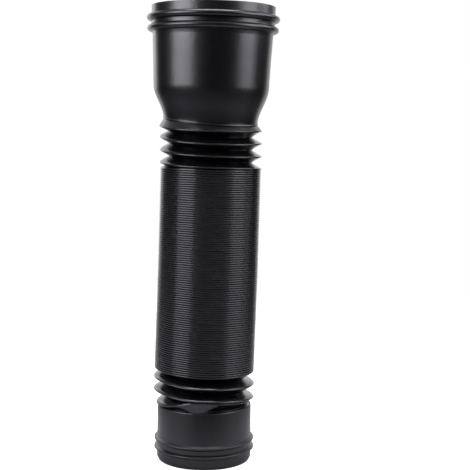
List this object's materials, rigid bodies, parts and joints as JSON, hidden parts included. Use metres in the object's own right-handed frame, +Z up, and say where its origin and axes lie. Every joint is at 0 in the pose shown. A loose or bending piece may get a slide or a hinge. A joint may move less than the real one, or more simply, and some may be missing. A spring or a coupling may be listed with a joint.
{
  "type": "flexible downspout extension",
  "caption": "Flexible drain tube with a wide ringed cup, a bellows pressed mostly shut, and a plain beaded spigot, standing on its spigot end.",
  "frame": {"origin": "middle of the bounding box's floor, on the surface that the spigot end stands on", "axes": "+Z up the tube from the spigot to the cup, -Y to the front, +X to the right seen from the front"},
  "size_m": [0.1406, 0.1406, 0.4906],
  "materials": {
    "black_polyethylene": "satin black, blow-moulded"
  },
  "bodies": {
    "root": {"downspout_extension": "black_polyethylene"}
  },
  "joints": []
}
